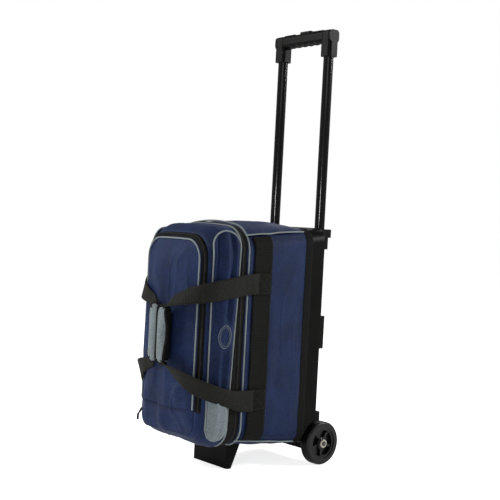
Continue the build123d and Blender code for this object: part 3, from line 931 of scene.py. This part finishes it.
def front_panel_grid():
    rings = []
    for inward in np.r_[0, .03, .07, .12, np.linspace(.18, .985, 40)]:
        # the panel turns from the piping onto a flat front, a little fuller in the middle
        left = 1 - inward
        drop = (13 * (1 - (1 - min(1, inward / .42)) ** 2.3)
                + 9 * math.sin(min(1, inward) * math.pi / 2))
        half = PANEL_HALF * left
        radius = min(PANEL_RADIUS * left ** .8, half * .98)
        rings.append(ring(PANEL_Y - drop, half, lerp(PANEL_LOW, PANEL_MID, inward),
                          lerp(PANEL_HIGH, PANEL_MID, inward), radius, crown=2.5 * left,
                          low_radius=min(25 * left ** .6, radius)))
    grid = stack_rings(rings)
    x, z = grid[..., 0], grid[..., 2]
    smooth_y = grid[..., 1].copy()
    to_seam = np.minimum(PANEL_HALF - np.abs(x), np.minimum(z - 91, 519 - z))
    edge = np.clip(to_seam / 16, 0, 1)
    relief = folds(x * .95, z * .5, amp=9.0, seed=51, size_a=40, size_b=60) - 1.2
    # slanting creases in a high and a low belt
    pull = (3.2 * np.exp(-((z - 405) / 50) ** 2) * np.sin(x / 16 + z / 26)
            + 5.0 * np.exp(-((z - 185) / 45) ** 2) * np.sin(x / 15 - z / 22))
    grid[..., 1] -= edge * (relief + .55 * pull)
    # the foot sags and gathers below the seam
    low = np.clip((150 - z) / 50, 0, 1)
    grid[..., 1] += edge * (low * 3 + low * 3 * np.sin(x / 9.0))
    grid[..., 2] -= low * 5 * np.clip(.4 - x / 140, 0, 1)
    # no dent goes behind the piping
    grid[..., 1] = np.minimum(grid[..., 1], PANEL_Y - .5 * (PANEL_Y - smooth_y))
    return grid


def front_panel():
    obj = sheet("shoe_pocket_front_cloth", front_panel_grid(), NAVY, closed=True,
                centre=LID_CENTRE)
    with editing(obj) as bm:
        fill_holes(bm)
    attach(obj, "lid", "navy_fabric", "shoe_pocket_front", "lid_front_panel")
    # seam across the foot, with its stitching below
    tree = caster(obj)
    for name, mat, end_x, heights, thread in (
            ("seam_front_foot", NAVY_THREAD, 88, (150, 147, 146, 147, 150),
             dict(radius=.8, dash=3.0, gap=.1, lift=.2)),
            ("stitch_front_foot", THREAD, 86, (145.5, 142.5, 141.5, 142.5, 145.5), {})):
        path = [(x, -420, z) for x, z in zip((-end_x, -40, 0, 40, end_x), heights)]
        stitch_line(name, tree, path, (0, 1, 0), mat, "lid", "navy_fabric", **thread)


front_panel()
for side, tag in SIDES:
    tree = caster(SIDE_PANELS[side])
    for level, heights in (("top", (533, 527, 518)), ("low", (74, 82, 90))):
        path = [(side * 126, y, z) for y, z in zip((-82, -160, -246), heights)]
        stitch_line(f"stitch_side_{level}_{tag}", tree, path, (-side, 0, 0), THREAD,
                    "bag", "navy_fabric", radius=.35)

# ------------------------------------------------------------------ side pockets
POCKET_HALF, POCKET_LOW, POCKET_HIGH = 32.5, 84.0, 541.0
TOP_ARCH, LOW_ARCH = 34.0, 33.0         # heights of the rounded ends
BADGE_Z = 312
ROWS = 1 - (np.cos(np.linspace(0, math.pi, 110)) + 1) / 2
COLUMNS = np.linspace(-1, 1, 46)


def pocket_outline(v):
    """Height and half width at v, 0 at the foot and 1 at the top."""
    z = lerp(POCKET_LOW, POCKET_HIGH, v)
    share = 1.0
    if z > POCKET_HIGH - TOP_ARCH:
        share = math.sqrt(max(0, 1 - ((z - (POCKET_HIGH - TOP_ARCH)) / TOP_ARCH) ** 2))
    if z < POCKET_LOW + LOW_ARCH:
        share = min(share, math.sqrt(max(0, 1 - ((POCKET_LOW + LOW_ARCH - z) / LOW_ARCH) ** 2)))
    return z, POCKET_HALF * share


def pocket_v(z):
    return (z - POCKET_LOW) / (POCKET_HIGH - POCKET_LOW)


def pocket_point(side, across, z, lift):
    """A point on the lid's side; across runs from the zip band forwards."""
    back, front = -281.5 + float(lean(z)), -337.0
    y = (back + front) / 2 - across * (back - front) / (2 * POCKET_HALF)
    half, low, high, radius = lid_size(y)[:4]
    x = half
    into_corner = max(z - (high - radius), (low + radius) - z)
    if into_corner > 0:
        into_corner = min(into_corner, radius * .999)
        x = half - radius + math.sqrt(radius * radius - into_corner * into_corner)
    x = half - .42 * (half - x)     # near upright at the ends, so the pouch keeps its face
    return np.array([side * (x + 1.5 + lift), y - lift * .12, z])


def plateau(z, middle):
    return math.exp(-((z - middle) / 34) ** 4)


def pocket_lift(side, u, v):
    """How far the cloth stands off the lid, with upright drapes."""
    z, half = pocket_outline(v)
    across = u * half
    edge = (1 - abs(u) ** 3.0) * min(1, half / 26)
    full = 7.5 * edge * min(1, (v * 6), ((1 - v) * 7))
    phase = across / 4.8 + .9 * float(noise(z / 120, side * 2.0, 13)) + .25 * math.sin(z / 60)
    patches = float(np.clip(noise(z / 150, across / 60, 15) + .6, 0, 1))
    drape = 6.0 * edge * math.sin(phase) * (.45 + .55 * patches)
    drape += 2.4 * edge * float(noise(across / 11, z / 60, 17))
    drape *= 1 - .85 * plateau(z, BADGE_Z)
    if z < 178:
        drape *= .25
    if side < 0:
        # flatter where the left carry loop passes over
        pressed = max(plateau(z, 417), plateau(z, 181))
        full *= 1 - .75 * pressed
        drape *= 1 - .9 * pressed
    return full + drape


def pocket_cloth(side, tag):
    grid = np.zeros((len(ROWS), len(COLUMNS), 3))
    for i, v in enumerate(ROWS):
        z, half = pocket_outline(v)
        for j, u in enumerate(COLUMNS):
            grid[i, j] = pocket_point(side, u * half, z, pocket_lift(side, u, v))
    attach(sheet(f"side_pocket_{tag}_cloth", grid, NAVY, thick=1.0, centre=LID_CENTRE),
           "lid", "navy_fabric", f"side_pocket_{tag}")


def pocket_piping(side, tag):
    gap, lift = .6, 1.2
    rim = [pocket_outline(v) for v in ROWS[1:-1]]
    points = [pocket_point(side, half + gap, z, lift) for z, half in rim]
    points.append(pocket_point(side, 0, POCKET_HIGH + gap, lift))
    points += [pocket_point(side, -half - gap, z, lift) for z, half in rim[::-1]]
    points.append(pocket_point(side, 0, POCKET_LOW - gap, lift))
    path = smooth_path(points + points[:1], 300)[:-1]
    attach(tube(f"piping_pocket_{tag}", path, 1.9, CORD, closed=True), "lid", "piping")


def pocket_patch(side, tag):
    """Lighter patch at the foot of the pocket."""
    rows = []
    for z in np.r_[np.linspace(86, 100, 10), np.linspace(104, 176, 22)]:
        half = pocket_outline(pocket_v(z))[1]
        inner = half - 1.2
        row = []
        for u in COLUMNS:
            z_here = z + (3 * u if z > 170 else 0)      # the top edge slants
            lift = pocket_lift(side, u * inner / max(half, 1), pocket_v(z_here)) + 2.6
            row.append(pocket_point(side, u * inner, z_here, lift))
        rows.append(row)
    obj = sheet(f"pocket_patch_{tag}", np.array(rows), GREY, thick=.8, centre=LID_CENTRE)
    attach(obj, "lid", "grey_fabric", *(("side_pocket_patches",) if side > 0 else ()))


def pocket_badge(side, tag):
    """Plain oval badge of two rings."""
    # half width, half height, cord radius
    for k, (wide, tall, radius) in enumerate(((17.0, 25.0, 1.04), (13.2, 20.6, .64))):
        points = []
        for t in np.linspace(0, 2 * math.pi, 60, endpoint=False):
            across, z = -2 + wide * math.cos(t), BADGE_Z + tall * math.sin(t)
            lift = .6 + pocket_lift(side, across / POCKET_HALF, pocket_v(z))
            points.append(pocket_point(side, across, z, lift))
        attach(tube(f"badge_ring_{k}_{tag}", points, radius, EMBLEM, closed=True, sides=6),
               "lid", "piping")


for side, tag in SIDES:
    pocket_cloth(side, tag)
    pocket_piping(side, tag)
    pocket_patch(side, tag)
    pocket_badge(side, tag)


# ------------------------------------------------------------------ inside the bag
def quilted_panel():
    """Lining pad inside the lid: crowned on both faces, closed, with sewn channels."""
    near, far = [np.array(p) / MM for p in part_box("lid_inner_panel")]
    middle_y = (near[1] + far[1]) / 2 - AXLE_Y / MM
    half_depth = (far[1] - near[1]) / 2
    middle_z = (near[2] + far[2]) / 2
    pitch = 44      # between channels
    rim = rounded_rect((far[0] - near[0]) / 2, near[2], far[2], 44)
    scales = np.linspace(.02, 1, 46)
    rings = []
    for face, sequence in ((1, scales), (-1, scales[::-1])):
        for scale in sequence:
            outline = (rim - [0, middle_z]) * scale + [0, middle_z]
            crowned = (1 - scale ** 6) ** .5
            column = outline[:, 0] / pitch
            channel = np.exp(-((column - np.round(column)) * pitch / 2.6) ** 2)
            y = middle_y + face * half_depth * (.35 + .65 * crowned - .45 * channel * crowned)
            rings.append(at_depth(outline, y))
    grid = stack_rings(rings)
    obj = make("lid_inner_panel_quilt", grid.reshape(-1, 3),
               grid_faces(*grid.shape[:2], closed=True), LINING)
    with editing(obj) as bm:
        fill_holes(bm)
        recalc_normals(bm)
    attach(obj, "lid", "black_fabric", "lid_inner_panel")


def foam_cradle():
    """The ball cradle with softened edges and an open-cell skin (metres)."""
    obj = bpy.data.objects.new("ball_cradle_foam", NODES["ball_cradle"].data.copy())
    bpy.context.scene.collection.objects.link(obj)
    bpy.context.view_layer.objects.active = obj
    remesh = obj.modifiers.new("remesh", "REMESH")
    remesh.mode = "VOXEL"
    remesh.voxel_size = .0035
    smooth = obj.modifiers.new("smooth", "SMOOTH")
    smooth.factor = .5
    smooth.iterations = 5
    for name in ("remesh", "smooth"):
        with bpy.context.temp_override(object=obj, active_object=obj, selected_objects=[obj]):
            bpy.ops.object.modifier_apply(modifier=name)
    points = np.array([v.co[:] for v in obj.data.vertices])
    normals = np.array([v.normal[:] for v in obj.data.vertices])
    cell = .006
    pores = noise(points[:, 0] / cell, (points[:, 1] + points[:, 2]) / cell, 41)
    points += normals * (.0005 * pores - .0006)[:, None]
    obj.data.vertices.foreach_set("co", points.ravel())
    shade_smooth(obj.data)
    obj.data.materials.clear()
    obj.data.materials.append(FOAM)
    obj.data.update()
    attach(obj, "bag", "foam", "ball_cradle")


def cloth_hinge():
    """Cloth on the lid's left side, between the body and the lid."""
    grid = np.array([[(-128.6 - .4 * math.sin((y + 265) * .9), y, z)
                      for z in np.linspace(112, 498, 60)]
                     for y in np.linspace(-258.5, -271.5, 15)])
    obj = sheet("lid_cloth_hinge", grid, TAPE, thick=0, centre=(0, -265, 300))
    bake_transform(obj)


quilted_panel()
foam_cradle()
cloth_hinge()

# ------------------------------------------------------------------ carry loops
# right side straps from the sewn end to the pad: x, y, z, width, twist in degrees
UPPER_RUN = [
    (ANCHOR_X, -222, 427, 46, 0), (135.4, -236, 427, 46, 0), (136.2, -262, 424, 46, 0),
    (138.0, -300, 418, 45, 3), (134.0, -340, 411, 43, 8), (119.0, -370, 404, 40, 14),
    (92.0, -388, 397, 36, 22), (64.0, -396, 389, 30, 32), (42.0, -400, 381, 24, 44),
    (27.0, -400, 372, 20, 60), (20.0, -400, 360, 18, 80),
]
LOWER_RUN = [
    (ANCHOR_X, -222, 168, 48, 0), (135.4, -236, 168, 48, 0), (136.2, -262, 170, 46, -2),
    (138.5, -296, 178, 38, -14), (135.0, -334, 190, 42, -30), (121.0, -366, 203, 44, -30),
    (94.0, -387, 218, 40, -28), (66.0, -396, 230, 32, -36), (44.0, -400, 238, 25, -50),
    (28.0, -400, 246, 20, -64), (20.0, -400, 258, 18, -80),
]
# the left straps lie closer in: x, y of their stations from the fourth on
LEFT_STATIONS = ((130.5, -300), (122.5, -332), (112.0, -354), (92.0, -373), (68.0, -386),
                 (44.0, -391))
PAD_LOW, PAD_HIGH = 244, 374
PAD_MID = (PAD_LOW + PAD_HIGH) / 2
PAD_HALF_DEPTH = 10.5
# centre x (before mirroring) and y, half width; black border width and half height of the
# grey face; inset and radius of the binding
PADS = {
    1: SimpleNamespace(x=27.0, y=-396.5, half=18.5, border=3.6, face=60, inset=2.6, cord=3.6),
    -1: SimpleNamespace(x=11.5, y=-393.0, half=16.0, border=1.2, face=64, inset=.8, cord=1.3),
}


def loop_strap(name, side, run):
    run = np.array(run, float)
    if side < 0:
        run[3:9, :2] = LEFT_STATIONS
        run[3:9, 4] *= .6
    path = smooth_path(run, 120)
    points = path[:, :3].copy()
    # carry the end of the strap to the pad
    share = np.clip((100 - points[:, 0]) / 80, 0, 1)
    points[:, 0] += share * (PADS[side].x - run[-1, 0])
    points[:, 1] += share * (PADS[side].y - run[-1, 1])
    points[:, 0] *= side
    along = np.gradient(points, axis=0)
    along /= np.linalg.norm(along, axis=1)[:, None]
    up = np.array([0, 0, 1.0]) - along * along[:, 2:3]
    up /= np.linalg.norm(up, axis=1)[:, None]
    sideways = np.cross(along, up)
    twist = np.radians(path[:, 4]) * side
    across = up * np.cos(twist)[:, None] + sideways * np.sin(twist)[:, None]
    obj = ribbon(name, points, across, path[:, 3], WEBBING, thick=2.4, columns=7)
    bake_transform(obj)
    return obj


def superellipse(angle, power):
    return [math.copysign(abs(value) ** (2 / power), value)
            for value in (math.cos(angle), math.sin(angle))]


def pad_mesh(name, side):
    """A closed padded wrap round the webbing, narrowed at both ends."""
    pad = PADS[side]
    sides, rows = 34, 44
    verts, faces = [], []
    for i in range(rows):
        v = i / (rows - 1)
        full = min(1, math.sin(math.pi * v) * 3.2) ** .55 if 0 < v < 1 else 0.0
        size = .35 + .65 * full
        for k in range(sides):
            cx, cy = superellipse(2 * math.pi * k / sides, 2.9)
            verts.append((side * pad.x + pad.half * cx * size,
                          pad.y + PAD_HALF_DEPTH * cy * size, lerp(PAD_LOW, PAD_HIGH, v)))
    for i in range(rows - 1):
        for k in range(sides):
            m = (k + 1) % sides
            faces.append((i * sides + k, i * sides + m, (i + 1) * sides + m,
                          (i + 1) * sides + k))
    faces.append(tuple(range(sides))[::-1])
    faces.append(tuple((rows - 1) * sides + k for k in range(sides)))
    obj = make(name, np.array(verts), faces, GREY)
    with editing(obj) as bm:
        recalc_normals(bm)
    return obj


def inflate(obj, frames=20, furthest=.0035, voxel=.005):
    """Settle a closed mesh as pressurised cloth, keeping moves up to furthest (metres)."""
    scene = bpy.context.scene
    bpy.ops.object.select_all(action="DESELECT")
    obj.select_set(True)
    bpy.context.view_layer.objects.active = obj
    remesh = obj.modifiers.new("remesh", "REMESH")
    remesh.mode = "VOXEL"
    remesh.voxel_size = voxel
    bpy.ops.object.modifier_apply(modifier=remesh.name)
    rest = np.array([v.co[:] for v in obj.data.vertices])
    cloth = obj.modifiers.new("cloth", "CLOTH")
    settings = cloth.settings
    settings.quality = 6
    settings.mass = .2
    settings.use_pressure = True
    settings.uniform_pressure_force = 16.0
    settings.tension_stiffness = 12
    settings.compression_stiffness = 12
    settings.bending_stiffness = .3
    settings.effector_weights.gravity = 0
    cloth.point_cache.frame_start = 1
    cloth.point_cache.frame_end = frames
    for number in range(1, frames + 1):
        scene.frame_set(number)
    settled = obj.evaluated_get(bpy.context.evaluated_depsgraph_get())
    new = np.array([v.co[:] for v in settled.data.vertices])
    obj.modifiers.remove(cloth)
    scene.frame_set(1)
    # a failed simulation leaves the pad at rest
    if len(new) == len(rest) and np.isfinite(new).all():
        move = new - rest
        length = np.linalg.norm(move, axis=1)[:, None] + 1e-12
        move = move / length * np.minimum(length, furthest)
        obj.data.vertices.foreach_set("co", (rest + move).ravel())
        obj.data.update()
    shade_smooth(obj.data)
    subdivide = obj.modifiers.new("soft", "SUBSURF")
    subdivide.levels = 1
    subdivide.render_levels = 1


def colour_pad(obj, side):
    """The wrap's sides are black cloth; only its face is grey."""
    pad = PADS[side]
    obj.data.materials.append(BLACK_CLOTH)
    for face in obj.data.polygons:
        x, y, z = face.center
        if (abs(x / MM - side * pad.x) > pad.half - pad.border
                or abs(z / MM - PAD_MID) > pad.face or (y - AXLE_Y) / MM > pad.y + 1):
            face.material_index = 1


def pad_binding(obj, side, tag, body):
    """Black binding laid on the face of the wrap, found by casting onto it."""
    pad = PADS[side]
    tree = caster(obj)
    points = []
    for angle in np.linspace(0, 2 * math.pi, 120, endpoint=False):
        cx, cz = superellipse(angle, 4.2)
        for scale in np.linspace(1, .7, 16):
            x = side * pad.x + (pad.half - pad.inset) * cx * scale
            z = PAD_MID + 64 * cz * (.6 + .4 * scale)
            hit = tree.ray_cast(Vector(world((x, -450.0, z))), Vector((0, 1, 0)))[0]
            if hit is not None and (hit.y - AXLE_Y) / MM < pad.y + 1.5:
                points.append((x, (hit.y - AXLE_Y) / MM - .6, z))
                break
    points = np.array(points)
    for _ in range(4):
        points = (np.roll(points, 1, 0) + 2 * points + np.roll(points, -1, 0)) / 4
    attach(tube(f"pad_binding_{tag}", points, pad.cord, BLACK_CLOTH, closed=True),
           body, "webbing")


for side, tag in SIDES:
    body = f"loop_{tag}"
    upper = loop_strap(f"loop_strap_upper_{tag}", side, UPPER_RUN)
    loop_strap(f"loop_strap_lower_{tag}", side, LOWER_RUN)
    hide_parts(f"loop_webbing_{tag}")
    wrap = pad_mesh(f"grip_pad_{tag}_cloth", side)
    inflate(wrap)
    attach(wrap, body, "grey_fabric", f"grip_pad_{tag}")
    colour_pad(wrap, side)
    pad_binding(wrap, side, tag, body)

# ------------------------------------------------------------------ handle grip ribs
GRIP_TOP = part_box("grip_front")[1][2] / MM
GRIP_Y = 8.0
for side, _ in SIDES:
    for k in range(6):
        x = side * (34 + k * 6.4)
        rib = box(f"grip_rib_{k}_{'r' if side > 0 else 'l'}",
                  (x - 1.5, GRIP_Y - 11, GRIP_TOP - 1.2), (x + 1.5, GRIP_Y + 11, GRIP_TOP + 1.5),
                  PLASTIC, bevel=1.0)
        attach(rib, "handle", "black_plastic")

# ------------------------------------------------------------------ wheel hub screws
AXLE_Z = 50.8
for side, tag in SIDES:
    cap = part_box(f"hub_cap_{tag}")
    face_x = (cap[1][0] if side > 0 else cap[0][0]) / MM
    # name, inner and outer end from the cap's face, radius, sides
    for name, start, end, radius, sides, mat, slot in (
            ("hub_screw", -.4, .8, 5.6, 24, HUB, "black_plastic"),
            ("hub_screw_socket", .7, 1.1, 2.2, 6, STEEL, "steel")):
        ends = [(face_x + side * out, 0, AXLE_Z) for out in (start, end)]
        attach(tube(f"{name}_{tag}", ends, radius, mat, sides=sides), f"wheel_{tag}", slot)


# ------------------------------------------------------------------ front pocket zip pulls
def zip_pull(level, hang, cord, tip, tip_length):
    """A cord loop hanging by (x, y, z) from the pull, with a moulded tip; radii given."""
    low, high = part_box(f"shoe_pull_{level}")
    x = (low[0] + high[0]) / 2 / MM
    y = (low[1] - AXLE_Y) / MM - .6
    z = low[2] / MM + 4
    hang_x, hang_y, hang_z = hang
    t = np.linspace(0, 1, 30)
    sag = np.sin(t * math.pi)
    path = np.c_[x - hang_x * sag + 2.0 * np.cos(t * math.pi), y - hang_y * sag,
                 z - hang_z * sag]
    attach(tube(f"pull_cord_{level}", path, cord, BLACK_CLOTH), f"{level}_pull", "zip_metal")
    x, y, z = x - hang_x, y - hang_y, z - hang_z
    path = [(x, y, z + 1), (x - .3, y - .3, z - 2), (x - .4, y - .5, z - tip_length)]
    attach(tube(f"pull_tip_{level}", path, tip, PLASTIC), f"{level}_pull", "zip_metal")


# the upper pull is short, so it passes under the loop
zip_pull("upper", hang=(.8, 1.2, 5), cord=1.1, tip=1.5, tip_length=2.4)
zip_pull("lower", hang=(4.5, 7.0, 15), cord=1.5, tip=2.6, tip_length=13)

# ------------------------------------------------------------------ stage (metres)
bpy.ops.mesh.primitive_plane_add(size=30, location=(0, 0, -.0005))
floor = bpy.context.object
floor.name = "floor"
floor.data.materials.append(FLOOR)

sky = bpy.data.worlds.new("w")
bpy.context.scene.world = sky
sky.use_nodes = True
feed(sky.node_tree, sky.node_tree.nodes["Background"],
     {"Color": (1, 1, 1, 1), "Strength": camera_switch(sky.node_tree, unseen=.24, seen=1.0)})


def area_light(name, location, size, power, target=(0, 0, .35)):
    light = bpy.data.lights.new(name, "AREA")
    light.size = size
    light.energy = power
    obj = bpy.data.objects.new(name, light)
    bpy.context.scene.collection.objects.link(obj)
    obj.location = location
    aim = Vector(target) - Vector(location)
    obj.rotation_euler = aim.to_track_quat("-Z", "Y").to_euler()


area_light("key", (-2.0, -2.5, 2.3), size=.8, power=84)
area_light("right", (1.9, 2.2, 1.6), size=.5, power=52)
area_light("front_right", (2.2, -2.2, 1.9), size=1.4, power=7)
area_light("back", (-1.4, 2.6, 2.2), size=1.2, power=22, target=(0, 0, .5))
area_light("strip", (1.5, -2.6, .7), size=.18, power=7, target=(0, .19, .75))


def add_camera():
    """Looks from the front right; its axes are given as right, up and back."""
    lens = bpy.data.cameras.new("cam")
    obj = bpy.data.objects.new("cam", lens)
    bpy.context.scene.collection.objects.link(obj)
    right = Vector((0.64707758, 0.76066068, 0.05182609))
    up = Vector((-0.0514693, -0.02423883, 0.99838038))
    back = Vector((0.7606849, -0.64869701, 0.02346627))
    turn = Matrix((right, up, back)).transposed().to_4x4()
    place = Vector((1.80055, -1.67384 + AXLE_Y, .5534))
    obj.matrix_world = Matrix.Translation(place) @ turn
    lens.lens = 72
    lens.sensor_width = 36
    bpy.context.scene.camera = obj


add_camera()
bpy.context.scene.view_settings.view_transform = "Standard"

bpy.context.view_layer.update()
